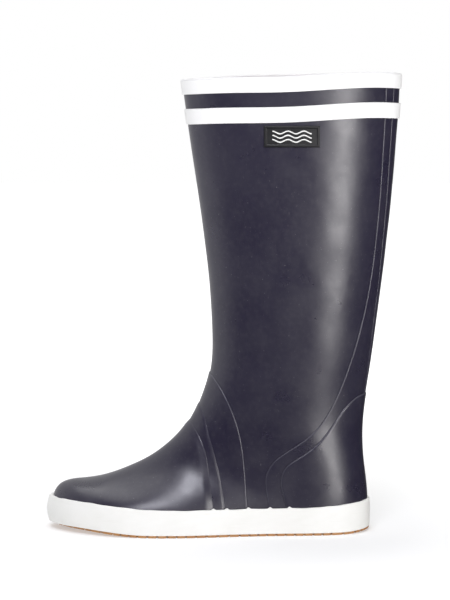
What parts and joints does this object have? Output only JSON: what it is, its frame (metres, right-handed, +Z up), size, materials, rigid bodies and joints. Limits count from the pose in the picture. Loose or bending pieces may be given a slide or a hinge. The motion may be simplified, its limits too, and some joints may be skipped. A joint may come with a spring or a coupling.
{
  "type": "deck boot",
  "caption": "Knee-low rubber deck boot for the left foot: dark shell with moulded overlays, white rim band and stripe, pale foxing strip and a zigzag gum outsole.",
  "frame": {"origin": "on the ground, under the middle of the boot's bounding box", "axes": "+Z up along the leg, toe towards -X, heel towards +X, outer (lateral) side towards -Y, so +Y is the inner side of this left boot"},
  "size_m": [0.2973, 0.0998, 0.3809],
  "materials": {
    "leg_rubber": "satin dark navy vulcanised rubber with soft broad highlights and fine specks",
    "white_rubber": "smooth white rubber",
    "foxing_rubber": "slightly creamy white rubber with faint scuffs",
    "label_rubber": "near-black satin rubber",
    "motif_rubber": "white rubber inlay",
    "sole_gum": "translucent-looking gum rubber, matt",
    "filler_rubber": "matt foamed rubber",
    "shank_steel": "plain rolled steel",
    "board_fibre": "fibre board",
    "footbed_fabric": "knitted cover over foam",
    "lining_knit": "pinkish-tan cotton knit",
    "puff_fibre": "stiff impregnated fibre"
  },
  "bodies": {
    "root": {"leg_shaft": "leg_rubber", "vamp": "leg_rubber", "vamp_ply": "leg_rubber", "toe_overlay": "leg_rubber", "rear_quarter": "leg_rubber", "backstay": "leg_rubber", "heel_counter": "leg_rubber", "rim_band": "white_rubber", "stripe_band": "white_rubber", "foxing_strip": "foxing_rubber", "label_plate": "label_rubber", "label_motif": "motif_rubber", "outsole": "sole_gum", "midsole_filler": "filler_rubber", "heel_wedge": "filler_rubber", "shank": "shank_steel", "insole_board": "board_fibre", "footbed": "footbed_fabric", "leg_lining": "lining_knit", "foot_lining": "lining_knit", "toe_puff": "puff_fibre", "counter_stiffener": "puff_fibre"}
  },
  "joints": []
}
